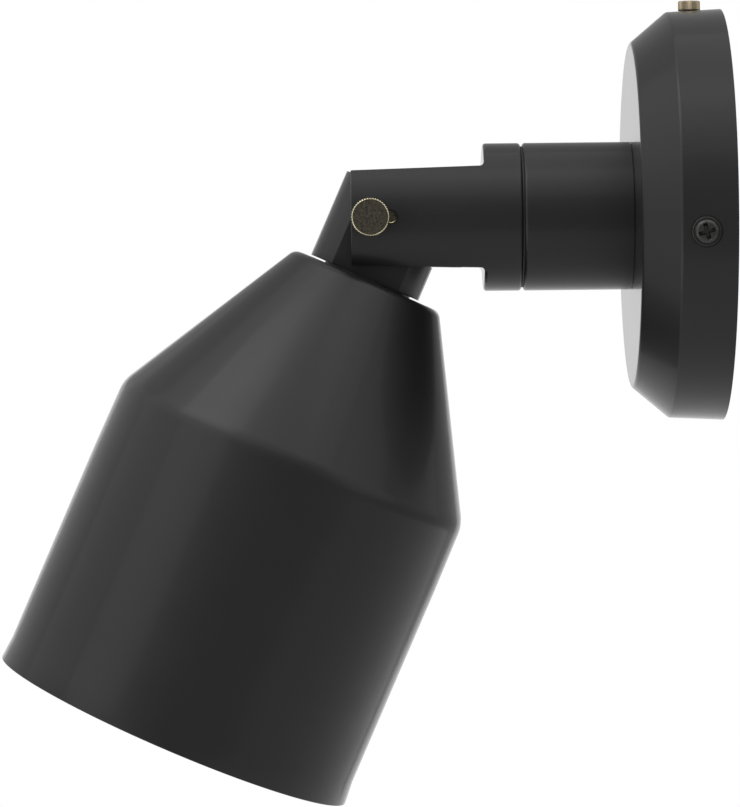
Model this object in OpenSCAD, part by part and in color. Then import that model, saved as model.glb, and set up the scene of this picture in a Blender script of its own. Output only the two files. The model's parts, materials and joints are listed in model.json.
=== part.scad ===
// Pivoting spotlight wall light: a bevelled round canopy, a short round arm with a swivelling
// fork, and a cone-topped shade on a knuckle that tilts in the fork and is held by a thumb screw.
// Millimetres. The wall is the plane Y = 0, the light stands out along -Y, and Z is up.
// The origin is the centre of the canopy's back, on the wall.

/* [Canopy] */
// Diameter of the canopy at the wall
canopy_d = 127; // [124:1:150]
// Depth of the canopy, from the wall to its face
canopy_depth = 27.9; // [27:0.1:34]
// Height of the rim, before the bevel starts
canopy_rim_h = 16.6; // [15.6:0.1:19]
// How far the rim draws in over its height
canopy_draft = 0.8; // [0:0.1:1.2]
// How far the bevel draws in, from the rim to the face
canopy_bevel = 9.5; // [6:0.5:14]
// Thickness of the canopy's sheet steel
canopy_wall = 1.5; // [1:0.1:1.8]

/* [Wall bracket] */
// Width of the strap that crosses the junction box
strap_w = 26; // [22:1:30]
// Thickness of the strap
strap_t = 2; // [1.6:0.1:2.5]
// Distance between the middles of the two box slots
box_spacing = 80; // [76:1:82]
// Length of a box slot, end to end
box_slot_len = 20; // [12:1:20]
// Width of a box slot
box_slot_w = 4.7; // [4.2:0.1:5.2]
// Width of each bent ear that takes a canopy screw
ear_w = 12; // [9:0.5:14]

/* [Canopy screws] */
// Distance of the canopy screws from the wall
screw_depth = 9.5; // [8:0.1:10]
// How far round from the horizontal the canopy screws sit, in degrees
screw_turn = 5.3; // [0:0.1:6]
// Thread diameter of the canopy screws
screw_d = 3.5; // [3:0.1:4]
// Diameter of their pan heads
screw_head_d = 7.4; // [6.5:0.1:8]

/* [Switch] */
// Distance of the switch's axis from the wall
switch_depth = 9.1; // [8.5:0.1:9.6]
// Diameter of the switch knob
knob_d = 6.8; // [6.2:0.1:9]
// Height of the switch knob
knob_h = 3; // [2.5:0.1:8]

/* [Arm and swivel] */
// Diameter of the arm and of the fork's collar
arm_d = 45.7; // [44:0.1:50]
// Length of the fixed arm, from the canopy's face to the swivel
arm_len = 33.5; // [32:0.1:60]
// Wall of the arm round its hollow
arm_wall = 5.85; // [5:0.05:6.5]
// Thickness of the web that the swivel turns in
web_t = 10; // [8:0.5:12]
// Diameter of the fork's spigot in the web
spigot_d = 20; // [18:0.5:21]
// Gap that shows between the arm and the collar
swivel_gap = 0.5; // [0.4:0.05:1]

/* [Fork] */
// Length of the round collar behind the ears
collar_len = 11.7; // [9:0.1:20]
// Length of the ears, from the collar to their ends
fork_len = 40.8; // [39:0.1:55]
// Height of the ears at the collar
fork_root_h = 31.2; // [30:0.1:34]
// Height of the ears at their ends
fork_end_h = 29; // [27:0.1:30]
// Width of the slot between the ears
fork_slot_w = 29.8; // [27:0.1:30]
// Distance of the pivot from the ends of the ears
pivot_setback = 12.2; // [11.5:0.1:13]
// Diameter of the pivot pin
pin_d = 4; // [3.5:0.1:4.5]

/* [Lock screw] */
// Distance of the lock screw from the pivot, towards the ends of the ears
lock_offset = 6.3; // [6:0.1:7]
// Diameter of its knurled head
lock_head_d = 11.8; // [10:0.1:12.5]
// Thickness of its knurled head
lock_head_t = 5; // [4:0.1:8]
// Thread diameter
lock_d = 4.8; // [4:0.1:5]
// Number of teeth in the knurl
lock_teeth = 44; // [30:1:60]

/* [Head] */
// Tilt of the head at rest, forward from hanging straight down, in degrees
tilt = 23.9; // [0:0.1:90]
// Diameter of the knuckle
knuckle_d = 36.2; // [34:0.1:36.4]
// Height of the knuckle above the pivot
knuckle_top = 8.1; // [7:0.1:9]
// Distance of the shade's axis behind the pivot
nipple_offset = 1; // [0:0.1:1.5]
// Diameter of the shade's flat top, at the sharp corner
shade_top_d = 48.6; // [46:0.1:50]
// Diameter of the shade at its shoulder
shade_shoulder_d = 114; // [105:0.5:118]
// Diameter of the shade at its open end
shade_mouth_d = 115.8; // [108:0.1:122]
// Distance from the shade's top to its shoulder
shade_cone_h = 58; // [50:0.1:64]
// Distance from the shade's shoulder to its open end
shade_drum_h = 93.7; // [88:0.1:120]
// Thickness of the shade's spun aluminium
shade_wall = 1.2; // [0.8:0.1:1.6]

/* [Lampholder and bulb] */
// Outside diameter of the lampholder's body
holder_d = 36; // [34:0.5:40]
// Length of the lampholder's body
holder_len = 42; // [40:0.5:46]
// Diameter of the bulb's screw shell
bulb_base_d = 26.4; // [25.8:0.1:26.6]
// Greatest diameter of the bulb's glass
bulb_d = 60; // [50:1:70]
// Length of the bulb, from its contact to its crown
bulb_len = 108; // [100:1:110]

/* [Wiring] */
// Diameter of an insulated lead
lead_d = 2.4; // [2:0.1:2.4]
// Greatest diameter of a twist-on wire connector
connector_d = 13; // [10:0.5:13]
// Length of a wire connector
connector_len = 20; // [16:0.5:24]

/* [Hidden] */
$fn = 96;

// Colours
black_coat = [0.17, 0.17, 0.17];
brass_aged = [0.45, 0.39, 0.24];
brass_bright = [0.72, 0.6, 0.33];
zinc_plate = [0.68, 0.69, 0.7];
bare_metal = [0.75, 0.75, 0.76];
phenolic = [0.1, 0.09, 0.09];
white_nylon = [0.9, 0.9, 0.86];
steatite = [0.88, 0.86, 0.8];

// Fits and cuts
cut = 1;                // overrun of every cut past the face that it opens
running = 0.05;         // radial gap of a shaft that turns in a hole
face_gap = 0.1;         // gap between flat faces that turn on each other
free_gap = 0.3;         // gap between parts that move past each other
hole_gap = 0.2;         // radial gap of a thread in a clearance hole

// Canopy
canopy_r = canopy_d / 2;
rim_r = canopy_r - canopy_draft;
face_r = rim_r - canopy_bevel;
rim_fillet = 1.6;
face_fillet = 2;
function canopy_r_at(h) = canopy_r - canopy_draft * h / canopy_rim_h;
canopy_inner_face = canopy_depth - canopy_wall;

// Hollow threaded nipples, their nuts and washers, the same at the arm and at the shade
nipple_r = 5;
nipple_bore_r = 3.5;
nut_flats = 14;
nut_t = 3.5;
lock_washer_r = 8;
lock_washer_t = 0.8;
tag_r = 7.5;
tag_t = 0.6;
tag_w = 5;
thread_tail = 4;

// Canopy screws and the ears that they screw into
screw_r = screw_d / 2;
screw_head_r = screw_head_d / 2;
screw_head_h = 2.2;
screw_head_round = 1.3;
spot_r = 4.8;
spot_sink = 0.45;
spot_x = canopy_r_at(screw_depth) - spot_sink;
recess_l = 4.2;
recess_w = 0.9;
recess_t = 1.4;
ear_wall_gap = 0.4;
ear_h = screw_depth + ear_w / 2;
ear_x = sqrt(pow(canopy_r_at(ear_h) - canopy_wall - ear_wall_gap, 2) - pow(ear_w / 2, 2));
ear_leg = 8;
bend_out_r = 3;
screw_tail = 3;

// Ground screw, on the strap between its middle and a slot
ground_x = box_spacing / 2 - box_slot_len / 2 - 8;
ground_head_r = 3.6;
ground_head_h = 2.2;
ground_slot_w = 1;
ground_slot_t = 1.1;
ground_lead_d = 1.8;
wall_clear = 0.2;

// Switch
bush_r = 3;
shaft_r = 1.5;
bush_len = 7;
switch_w = 16;
switch_t = 12.6;
switch_l = 15;
switch_nut_flats = 8;
switch_nut_t = 2;
switch_nut_r = switch_nut_flats / 2 / cos(30);
bush_sink = 0.15;
bush_top = canopy_r_at(switch_depth) - bush_sink;
housing_top = bush_top - canopy_wall - bush_len;
switch_nut_top = sqrt(pow(canopy_r_at(switch_depth + switch_nut_r) - canopy_wall, 2) - pow(switch_nut_r, 2));
knob_foot = canopy_r_at(switch_depth) + free_gap;
knob_round = 0.6;
knob_teeth = 24;
knurl_t = 0.22;

// Arm and swivel
arm_r = arm_d / 2;
hollow_r = arm_r - arm_wall;
arm_end = canopy_depth + arm_len;
foot_h = 0.25;
foot_inset = 0.8;
edge_fillet = 1;
plug_t = 8;
web_back = arm_end - web_t;
spigot_r = spigot_d / 2;
collar_back = arm_end + swivel_gap;
stop_pin_r = 1.5;
stop_land = 2.3;
stop_groove_w = 4.4;
stop_groove_t = 3;
stop_r = spigot_r + stop_land + stop_groove_w / 2;
stop_key_w = 3.6;
stop_pin_root = 6;
washer_land = 0.8;
washer_in_r = stop_r + stop_groove_w / 2 + washer_land;
washer_out_r = arm_r - 2.3;
tail_r = 8;
tail_len = 9;
rear_washer_t = 1.2;
rear_washer_r = 13.5;
spring_washer_t = 1.3;
swivel_nut_flats = 22;
swivel_nut_t = 4.5;
fork_tail = web_back - tail_len;

// Fork
collar_front = collar_back + collar_len;
fork_end = collar_front + fork_len;
pivot_y = fork_end - pivot_setback;
root_fillet = 1.2;
end_fillet = 0.4;
slot_fillet = 1.5;
slot_clearance = 2;
knuckle_r = knuckle_d / 2;
slot_end = pivot_y - norm([knuckle_r, knuckle_top]) - slot_clearance;
fork_bore_r = 4.5;
pin_r = pin_d / 2;
pin_near_gap = 0.1;
pin_sink = 0.6;
pin_chamfer = 0.25;
pin_far_cover = 3;

// Lock screw
lock_r = lock_d / 2;
lock_head_r = lock_head_d / 2;
lock_stand = 1.4;
lock_chamfer = 0.45;
lock_tip_r = 1.8;
lock_tip_len = 2.4;

// Knuckle, its pin washers and its wire channel
pin_washer_t = 0.5;
pin_washer_r = 4;
tongue_w = fork_slot_w - 2 * (pin_washer_t + face_gap);
ear_clearance = 1.05;
knuckle_bottom = norm([pivot_setback, fork_end_h / 2]) + ear_clearance;
knuckle_fillet = 0.5;
channel_w = 10;
channel_front = 6;
channel_floor = 9;

// Shade stack, from the knuckle downwards
shade_washer_t = 0.55;
shade_washer_r = 14.3;
shade_top = knuckle_bottom + shade_washer_t;
shade_shoulder = shade_top + shade_cone_h;
shade_mouth = shade_shoulder + shade_drum_h;
shade_top_fillet = 3.6;
shade_shoulder_fillet = 12;
plate_t = 1.2;
plate_r = 12;
plate_h = shade_top + shade_wall;
shade_washer_h = plate_h + plate_t;
shade_nut_h = shade_washer_h + lock_washer_t;

// Lampholder
cap_gap = 0.5;
cap_top = shade_nut_h + nut_t + cap_gap;
cap_neck_r = 9;
cap_neck_len = 5;
cap_len = 18;
cap_wall = 2.6;
cap_grip = 7.7;
cap_r = holder_d / 2 + 1;
cap_bottom = cap_top + cap_len;
holder_r = holder_d / 2;
holder_base_t = 6;
holder_bottom = cap_bottom + holder_len;
shell_t = 0.5;
shell_gap = 0.2;
bulb_base_r = bulb_base_d / 2;
shell_in_r = bulb_base_r + shell_gap;
shell_out_r = shell_in_r + shell_t;
shell_lip = 6;
terminal_x = 9;
terminal_r = 3;
terminal_h = 2.4;
terminal_tail = 4.5;
terminal_d = 3;
contact_w = 6;
contact_t = 0.5;
contact_rise = 3.5;
contact_foot = 4;
contact_side = 8;

// Bulb, whose contact touches the lampholder's
bulb_tip = cap_bottom + holder_base_t + contact_rise;
pip_r = 4.7;
pip_t = 1.4;
insulator_t = 3.2;
insulator_r = 8.5;
base_len = 23;
base_wall = 0.4;
glass_wall = 1;
neck_r = 12.4;
neck_len = 9;
base_top = bulb_tip + pip_t + insulator_t;
base_end = base_top + base_len;
bulb_end = bulb_tip + bulb_len;

// Leads
lead_r = lead_d / 2;
lead_x = lead_r + running;
lead_bore_r = 2 * lead_r + 2 * running;
lead_bend = 5;
bushing_flange_r = 4.8;
bushing_flange_t = 1.2;
bushing_len = 5;
lead_joint_gap = 0.4;
arm_nut_h = canopy_inner_face - tag_t - lock_washer_t - nut_t;
nipple_end = arm_nut_h - thread_tail;
bushing_end = nipple_end - bushing_flange_t;
lead_h = bushing_end - lead_bend;
connector_tip_r = 4;
connector_mouth_t = 5;
connector_bore = 4;
neutral_mouth = strap_w / 2 + 6;
switch_lead_x = 10;
switch_lead_drop = 3;
ground_bend = 4;
head_turn = 52;
head_bend = 6;
head_run = 19;
head_run_lap = 0.3;     // the straight run starts inside the bend, a hair thinner than it
head_run_thin = 0.03;
terminal_bend = 3;

// Outlines: each corner is [x, y, fillet]; an arc replaces a corner whose fillet is not zero
arc_steps = 6;
function unit(v) = v / norm(v);
function arc_corner(a, b, c, r) =
    let (p = [b.x, b.y], u = unit([a.x, a.y] - p), v = unit([c.x, c.y] - p), half = acos(u * v) / 2,
         centre = p + unit(u + v) * r / sin(half),
         from = p + u * r / tan(half) - centre, to = p + v * r / tan(half) - centre,
         a1 = atan2(from.y, from.x), turn = (atan2(to.y, to.x) - a1 + 540) % 360 - 180)
    [for (k = [0:arc_steps]) centre + r * [cos(a1 + turn * k / arc_steps), sin(a1 + turn * k / arc_steps)]];
function rounded(p) = [
    for (i = [0:len(p) - 1])
        each (p[i][2] == 0 ? [[p[i].x, p[i].y]]
              : arc_corner(p[(i + len(p) - 1) % len(p)], p[i], p[(i + 1) % len(p)], p[i][2]))
];

// A sheet of one thickness: the outer path, then the same path set in by the thickness and back.
// The last point's inner one stays level with it, so that the open rim is square to the axis.
function side(a, b) = let (d = unit([b.x - a.x, b.y - a.y])) [d.y, -d.x];
function set_in(p, i, t) =
    let (n0 = side(p[max(i - 1, 0)], p[max(i, 1)]),
         n1 = i == len(p) - 1 ? n0 : side(p[i], p[i + 1]), m = unit(n0 + n1))
    i == len(p) - 1 ? [p[i].x - abs(t / n0.x), p[i].y] : [p[i].x, p[i].y] + m * t / (m * n1);
function sheet(p, t) = concat(p, [
    for (i = [len(p) - 1:-1:0])
        let (q = set_in(p, i, t)) [q.x, q.y, max(p[i][2] - abs(t), 0)]
]);

// Frames: arm_frame has z out from the wall and y up; head_frame has its origin on the pivot,
// z down the head and y forward; shade_frame is the head frame moved to the shade's axis
module arm_frame(h = 0) translate([0, -h, 0]) rotate([90, 0, 0]) children();
module screw_frame(x = 0) {
    for (turn = [0, 180])
        arm_frame(screw_depth) rotate([0, 0, turn - screw_turn]) translate([x, 0, 0])
            rotate([0, 90, 0]) children();
}
module switch_frame(z = 0) translate([0, -switch_depth, z]) children();
module head_frame(t = 0) translate([0, -pivot_y, 0]) rotate([180 - tilt, 0, 0])
    translate([0, 0, t]) children();
module shade_frame(t = 0) head_frame(t) translate([0, -nipple_offset, 0]) children();
module across() rotate([0, 90, 0]) children();

// Shapes that repeat
module turned(p) rotate_extrude() polygon(rounded(p));
module rod(r, h) cylinder(r = r, h = h);
module tube(r, bore, h) difference() {
    rod(r, h);
    translate([0, 0, -cut]) rod(bore, h + 2 * cut);
}
module hex_nut(flats, bore, h) difference() {
    cylinder(r = flats / 2 / cos(30), h = h, $fn = 6);
    translate([0, 0, -cut]) rod(bore, h + 2 * cut);
}
module slot_hole(l, w, h) linear_extrude(h) {
    square([l - w, w], center = true);
    for (side = [-1, 1]) translate([side * (l - w) / 2, 0]) circle(d = w);
}
// Straight knurl: a toothed outline whose ends are bevelled by a turned blank
module knurled(r, h, teeth, bevel) intersection() {
    linear_extrude(h)
        polygon([for (k = [0:2 * teeth - 1]) (r - (k % 2) * knurl_t) * [cos(180 * k / teeth), sin(180 * k / teeth)]]);
    turned([[0, 0, 0], [r - bevel, 0, 0], [r + cut, bevel + cut, 0], [r + cut, h - bevel - cut, 0],
            [r - bevel, h, 0], [0, h, 0]]);
}
// A quarter turn of lead, or less: it starts at the origin along +z and turns towards +x
module lead_arc(r, bend, angle) translate([bend, 0, 0]) rotate([90, 0, 180])
    rotate_extrude(angle = angle) translate([bend, 0]) circle(r = r);

// Strap across the junction box, with an ear bent out at each end
module mounting_strap() color(zinc_plate) difference() {
    union() {
        arm_frame() linear_extrude(strap_t) square([2 * (ear_x - ear_leg / 2), strap_w], center = true);
        for (turn = [0, 180]) arm_frame() rotate([90, 0, turn - screw_turn])
            linear_extrude(ear_w, center = true) polygon(rounded([
                [ear_x - ear_leg, 0, 0], [ear_x, 0, bend_out_r], [ear_x, ear_h, 0],
                [ear_x - strap_t, ear_h, 0], [ear_x - strap_t, strap_t, bend_out_r - strap_t],
                [ear_x - ear_leg, strap_t, 0]]));
    }
    screw_frame(ear_x - strap_t - cut) rod(screw_r, strap_t + 2 * cut);
    for (side = [-1, 1]) arm_frame(-cut) translate([side * box_spacing / 2, 0, 0])
        slot_hole(box_slot_len, box_slot_w, strap_t + 2 * cut);
    arm_frame(-cut) translate([-ground_x, 0, 0]) rod(screw_r, strap_t + 2 * cut);
}

module ground_screw() color([0.2, 0.5, 0.25]) arm_frame() translate([-ground_x, 0, 0]) difference() {
    union() {
        translate([0, 0, wall_clear]) rod(screw_r, strap_t + ground_lead_d);
        translate([0, 0, strap_t + ground_lead_d])
            cylinder(r = ground_head_r, h = ground_head_h, $fn = 6);
    }
    translate([-ground_head_r, -ground_slot_w / 2, strap_t + ground_lead_d + ground_head_h - ground_slot_t])
        cube([2 * ground_head_r, ground_slot_w, ground_slot_t + cut]);
}

// Pressed steel cup with a bevelled front, open to the wall
module canopy() color(black_coat) difference() {
    arm_frame() turned(sheet([
        [nipple_r + hole_gap, canopy_depth, 0], [face_r, canopy_depth, face_fillet],
        [rim_r, canopy_rim_h, rim_fillet], [canopy_r, 0, 0]], canopy_wall));
    screw_frame(spot_x - canopy_wall - cut) rod(screw_r + hole_gap, canopy_wall + 2 * cut);
    screw_frame(spot_x) rod(spot_r, spot_sink + cut);
    switch_frame(bush_top - canopy_wall - cut) rod(bush_r, canopy_wall + bush_sink + 2 * cut);
}

module canopy_screws() color(black_coat) screw_frame(spot_x) difference() {
    union() {
        turned([[0, 0, 0], [screw_head_r, 0, 0], [screw_head_r, screw_head_h, screw_head_round],
                [0, screw_head_h, 0]]);
        translate([0, 0, ear_x - strap_t - screw_tail - spot_x])
            rod(screw_r, spot_x - ear_x + strap_t + screw_tail);
    }
    for (turn = [12, 102]) rotate([0, 0, turn]) translate([-recess_l / 2, -recess_w / 2, screw_head_h - recess_t])
        cube([recess_l, recess_w, recess_t + cut]);
}

// Rotary switch: its housing hangs inside on a threaded bush in the canopy's rim
module switch_housing() color(phenolic) switch_frame(housing_top - switch_l)
    translate([-switch_w / 2, -switch_t / 2, 0]) cube([switch_w, switch_t, switch_l]);
module switch_bush() color(brass_aged) switch_frame(housing_top)
    tube(bush_r, shaft_r + running, bush_top - housing_top);
module switch_nut() color(brass_aged) switch_frame(switch_nut_top - switch_nut_t)
    hex_nut(switch_nut_flats, bush_r, switch_nut_t);
module switch_shaft() color(brass_bright) switch_frame(housing_top + free_gap)
    rod(shaft_r, knob_foot + knob_h / 2 - housing_top - free_gap);
module switch_knob() color(brass_bright) switch_frame(knob_foot) difference() {
    knurled(knob_d / 2, knob_h, knob_teeth, knob_round);
    translate([0, 0, -cut]) rod(shaft_r, knob_h / 2 + cut);
}

// Fixed arm: a turned tube with a web at its front, closed by a plug at the canopy
module arm_tube() color(black_coat) difference() {
    arm_frame() turned([
        [hollow_r, canopy_depth, 0], [arm_r - foot_inset, canopy_depth, 0],
        [arm_r - foot_inset, canopy_depth + foot_h, 0], [arm_r, canopy_depth + foot_h, 0],
        [arm_r, arm_end, edge_fillet], [spigot_r + running, arm_end, 0],
        [spigot_r + running, web_back, 0], [hollow_r, web_back, edge_fillet]]);
    arm_frame(arm_end - stop_pin_root) translate([0, -stop_r, 0]) rod(stop_pin_r, stop_pin_root + cut);
}
module arm_plug() color(bare_metal) arm_frame(canopy_depth) tube(hollow_r, nipple_r, plug_t);
module arm_nipple() color(zinc_plate) arm_frame(nipple_end)
    tube(nipple_r, nipple_bore_r, canopy_depth + plug_t - nipple_end);
module ground_tag() color(brass_bright) arm_frame(canopy_inner_face - tag_t) difference() {
    union() {
        rod(tag_r, tag_t);
        translate([-tag_r - tag_w, -tag_w / 2, 0]) cube([tag_r + tag_w, tag_w, tag_t]);
    }
    translate([0, 0, -cut]) rod(nipple_r, tag_t + 2 * cut);
}
module arm_lock_washer() color(zinc_plate) arm_frame(arm_nut_h + nut_t)
    tube(lock_washer_r - hole_gap, nipple_r, lock_washer_t);
module arm_nut() color(brass_bright) arm_frame(arm_nut_h) hex_nut(nut_flats, nipple_r, nut_t);
module nipple_bushing() color(white_nylon) arm_frame(bushing_end) difference() {
    union() {
        rod(bushing_flange_r, bushing_flange_t);
        rod(nipple_bore_r, bushing_flange_t + bushing_len);
    }
    translate([0, 0, -cut]) rod(lead_bore_r, bushing_flange_t + bushing_len + 2 * cut);
}

// Leads: from the swivel through the nipple, then up to the switch or down to a connector
module arm_lead(side, turn, reach) arm_frame() translate([side * lead_x, 0, 0]) {
    translate([0, 0, lead_h + lead_bend]) rod(lead_r, fork_tail - lead_joint_gap - lead_h - lead_bend);
    translate([0, 0, lead_h + lead_bend]) rotate([180, 0, turn]) lead_arc(lead_r, lead_bend, 90);
    rotate([0, 0, turn]) translate([lead_bend, 0, lead_h]) across() rod(lead_r, reach - lead_bend);
}
module line_lead() color([0.08, 0.08, 0.08]) arm_lead(-1, 90, housing_top - switch_l);
module neutral_lead() color([0.93, 0.93, 0.9]) arm_lead(1, -90, neutral_mouth + connector_bore);

// Lead from the switch's side, which bends down into the line connector
line_mouth = housing_top - switch_l / 2 - lead_bend - switch_lead_drop;
line_x = switch_w / 2 + switch_lead_x;
module switch_lead() color([0.08, 0.08, 0.08]) {
    translate([switch_w / 2, -switch_depth, housing_top - switch_l / 2]) {
        across() rod(lead_r, switch_lead_x - lead_bend);
        translate([switch_lead_x - lead_bend, 0, 0]) rotate([0, 90, 0]) lead_arc(lead_r, lead_bend, 90);
    }
    translate([line_x, -switch_depth, line_mouth - connector_bore])
        rod(lead_r, connector_bore + switch_lead_drop);
}

// Bonding lead, from the tag under the arm's nut to the screw on the strap
module ground_lead() color([0.2, 0.5, 0.25]) arm_frame() {
    top = canopy_inner_face - tag_t;
    x = tag_r + tag_w / 2;
    h = strap_t + ground_lead_d / 2;
    translate([-x, 0, h + ground_bend]) rod(ground_lead_d / 2, top - h - ground_bend);
    translate([-x, 0, h + ground_bend]) rotate([0, 180, 0]) lead_arc(ground_lead_d / 2, ground_bend, 90);
    translate([screw_r - ground_x, 0, h]) across()
        rod(ground_lead_d / 2, ground_x - screw_r - x - ground_bend);
}

module connector() difference() {
    turned([[0, 0, 0], [connector_d / 2, 0, 0], [connector_d / 2, connector_mouth_t, 0],
            [connector_tip_r, connector_len, connector_tip_r / 2], [0, connector_len, 0]]);
    translate([0, 0, -cut]) rod(lead_r + running, connector_bore + cut);
}
module wire_connectors() color([0.8, 0.35, 0.1]) {
    translate([line_x, -switch_depth, line_mouth]) rotate([180, 0, 0]) connector();
    arm_frame(lead_h) translate([lead_x, -neutral_mouth, 0]) rotate([90, 0, 0]) connector();
}

// Swivel: the pin in the arm runs in a groove of the fork, whose key stops it at each end
module swivel_stop_pin() color(bare_metal) arm_frame(arm_end - stop_pin_root) translate([0, -stop_r, 0])
    rod(stop_pin_r, stop_pin_root + swivel_gap + stop_groove_t - 2 * free_gap);
module swivel_washer() color(white_nylon) arm_frame(arm_end)
    tube(washer_out_r, washer_in_r, swivel_gap - face_gap);

// The ears are the collar's own cylinder, cut to a taper above and below
module swivel_fork() color(black_coat) difference() {
    union() {
        arm_frame() turned([
            [0, fork_tail, 0], [tail_r, fork_tail, 0], [tail_r, web_back - face_gap, 0],
            [spigot_r, web_back - face_gap, 0], [spigot_r, collar_back, 0],
            [arm_r, collar_back, edge_fillet], [arm_r, collar_front, edge_fillet], [0, collar_front, 0]]);
        intersection() {
            arm_frame() turned([[0, collar_back + edge_fillet, 0], [arm_r, collar_back + edge_fillet, 0],
                                [arm_r, fork_end, end_fillet], [0, fork_end, 0]]);
            translate([-arm_r, 0, 0]) rotate([90, 0, 90]) linear_extrude(arm_d)
                polygon(rounded(concat(ear_profile(1), ear_profile(-1))));
        }
    }
    translate([0, 0, -arm_r]) linear_extrude(arm_d) polygon(rounded([
        [-fork_slot_w / 2, -fork_end - cut, 0], [fork_slot_w / 2, -fork_end - cut, 0],
        [fork_slot_w / 2, -slot_end, slot_fillet], [-fork_slot_w / 2, -slot_end, slot_fillet]]));
    arm_frame(fork_tail - cut) rod(fork_bore_r, slot_end - fork_tail + 2 * cut);
    difference() {
        arm_frame(collar_back - cut) tube(stop_r + stop_groove_w / 2, stop_r - stop_groove_w / 2, stop_groove_t + cut);
        arm_frame(collar_back) translate([-stop_key_w / 2, 0, 0]) cube([stop_key_w, arm_r, stop_groove_t]);
    }
    translate([0, -pivot_y, 0]) across() {
        rod(pin_r + pin_near_gap, arm_r + cut);
        translate([0, 0, pin_far_cover - arm_r]) rod(pin_r, arm_r);
    }
    translate([0, -pivot_y - lock_offset, 0]) across() rod(lock_r + running, arm_r + cut);
}
// Upper or lower half of the ears' side view, as [y, z, fillet]
function ear_profile(up) =
    let (half = [
        [-collar_back - edge_fillet, up * (fork_root_h / 2 + root_fillet), 0],
        [-collar_front, up * (fork_root_h / 2 + root_fillet), 0],
        [-collar_front, up * fork_root_h / 2, root_fillet * 0.99],
        [-fork_end, up * fork_end_h / 2, end_fillet]])
    up > 0 ? half : [half[3], half[2], half[1], half[0]];

module swivel_rear_washer() color(zinc_plate) arm_frame(web_back - face_gap - rear_washer_t)
    tube(rear_washer_r, tail_r, rear_washer_t);
module swivel_spring_washer() color(bare_metal)
    arm_frame(web_back - face_gap - rear_washer_t - spring_washer_t)
    tube((rear_washer_r + tail_r) / 2, tail_r, spring_washer_t);
module swivel_nut() color(zinc_plate)
    arm_frame(web_back - face_gap - rear_washer_t - spring_washer_t - swivel_nut_t)
    hex_nut(swivel_nut_flats, tail_r, swivel_nut_t);
module lead_sleeve() color(white_nylon) arm_frame(fork_tail)
    tube(fork_bore_r, lead_bore_r, slot_end - fork_tail);
module fork_leads() for (side = [-1, 1]) color(side < 0 ? [0.08, 0.08, 0.08] : [0.93, 0.93, 0.9])
    arm_frame(fork_tail) translate([side * lead_x, 0, 0]) rod(lead_r, slot_end - fork_tail);
module pivot_pin() color(brass_aged) translate([pin_far_cover - arm_r, -pivot_y, 0]) across()
    turned([[0, 0, 0], [pin_r, 0, 0], [pin_r, pin_len - pin_chamfer, 0], [pin_r - pin_chamfer, pin_len, 0],
            [0, pin_len, 0]]);
pin_len = 2 * arm_r - pin_far_cover - pin_sink;

module lock_screw() color(brass_bright) translate([tongue_w / 2 + running, -pivot_y - lock_offset, 0]) across() {
    rod(lock_tip_r, lock_tip_len);
    translate([0, 0, lock_tip_len]) rod(lock_r, lock_foot - lock_tip_len);
    translate([0, 0, lock_foot]) knurled(lock_head_r, lock_head_t, lock_teeth, lock_chamfer);
}
lock_foot = arm_r + lock_stand - tongue_w / 2 - running;

// Knuckle: a round block with flat cheeks, open above and behind for the leads
module knuckle() color(black_coat) difference() {
    intersection() {
        head_frame() turned([[0, -knuckle_top, 0], [knuckle_r, -knuckle_top, knuckle_fillet],
                             [knuckle_r, knuckle_bottom, knuckle_fillet], [0, knuckle_bottom, 0]]);
        head_frame(-knuckle_top) translate([-tongue_w / 2, -knuckle_r, 0])
            cube([tongue_w, knuckle_d, knuckle_top + knuckle_bottom]);
    }
    head_frame(-knuckle_top - cut) translate([-channel_w / 2, -knuckle_r - cut, 0])
        cube([channel_w, knuckle_r + cut + channel_front, knuckle_top + cut + channel_floor]);
    shade_frame(channel_floor - cut) rod(nipple_r, knuckle_bottom - channel_floor + 2 * cut);
    head_frame() translate([-tongue_w / 2 - cut, 0, 0]) across() rod(pin_r + running, tongue_w + 2 * cut);
}
module pivot_washers() color(bare_metal) for (side = [0, 1]) mirror([side, 0, 0])
    translate([tongue_w / 2, -pivot_y, 0]) across() tube(pin_washer_r, pin_r + running, pin_washer_t);

module head_nipple() color(zinc_plate) shade_frame(channel_floor)
    tube(nipple_r, nipple_bore_r, cap_top + cap_grip - channel_floor);
module shade_washer() color(black_coat) shade_frame(knuckle_bottom)
    tube(shade_washer_r, nipple_r, shade_washer_t);
// Spun shade: flat top, cone, rounded shoulder and a drum that flares a little to its mouth
module shade() color(black_coat) shade_frame() turned(sheet([
    [nipple_r + hole_gap, shade_top, 0], [shade_top_d / 2, shade_top, shade_top_fillet],
    [shade_shoulder_d / 2, shade_shoulder, shade_shoulder_fillet],
    [shade_mouth_d / 2, shade_mouth, 0]], -shade_wall));
module shade_plate() color(zinc_plate) shade_frame(plate_h) tube(plate_r, nipple_r, plate_t);
module shade_lock_washer() color(zinc_plate) shade_frame(shade_washer_h)
    tube(lock_washer_r, nipple_r, lock_washer_t);
module shade_nut() color(brass_bright) shade_frame(shade_nut_h) hex_nut(nut_flats, nipple_r, nut_t);

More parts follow.
